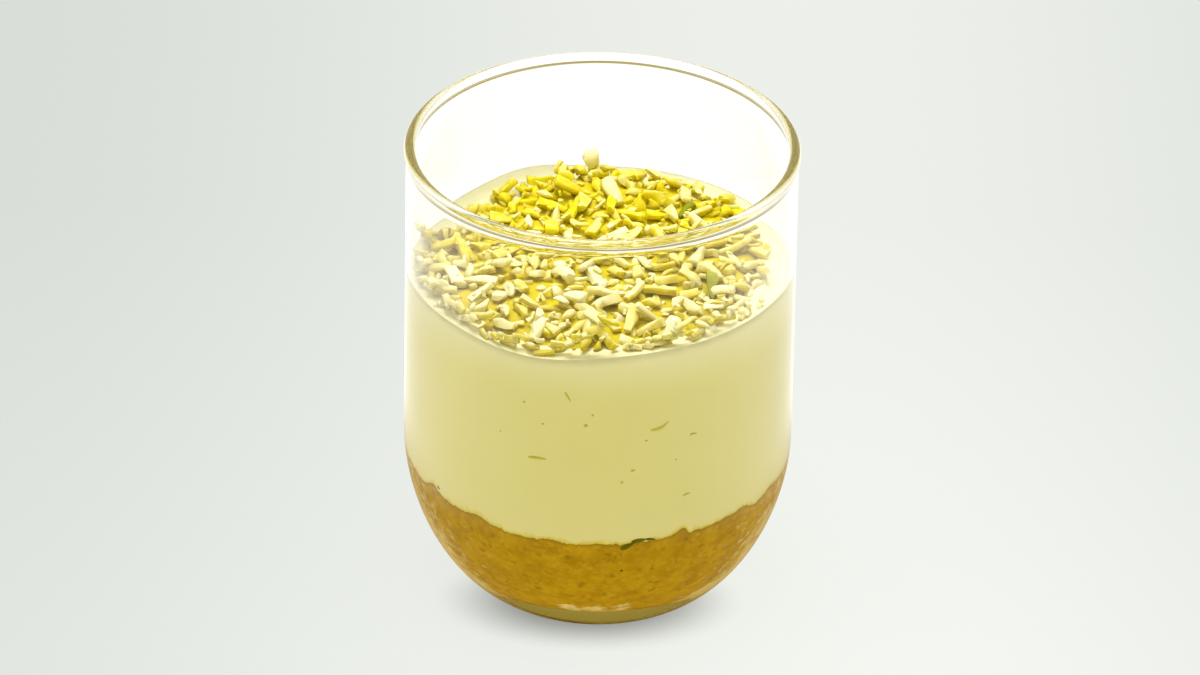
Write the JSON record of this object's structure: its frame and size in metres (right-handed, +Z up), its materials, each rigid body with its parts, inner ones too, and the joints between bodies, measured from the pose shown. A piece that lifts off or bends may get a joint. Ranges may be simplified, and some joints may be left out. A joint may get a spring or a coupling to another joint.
{
  "type": "matcha cheesecake cup",
  "caption": "Round-bottomed glass tumbler holding a biscuit crumb base, a deep layer of smooth matcha cheesecake and a heap of chopped nuts.",
  "frame": {"origin": "middle of the flat foot of the glass, on the surface it stands on", "axes": "+Z up through the middle of the cup, -Y the front that the picture shows, +X to its right"},
  "size_m": [0.075, 0.075, 0.095],
  "materials": {
    "glass": "clear, smooth soda-lime glass with a rounded lip",
    "crumbs": "damp pressed biscuit crumbs, matt and grainy",
    "cheesecake": "smooth set cream, pale green, slightly glossy",
    "nuts": "dry chopped nut pieces, pale yellow green"
  },
  "bodies": {
    "root": {"glass_tumbler": "glass", "crumb_base": "crumbs", "matcha_cheesecake": "cheesecake", "chopped_nuts": "nuts"}
  },
  "joints": []
}
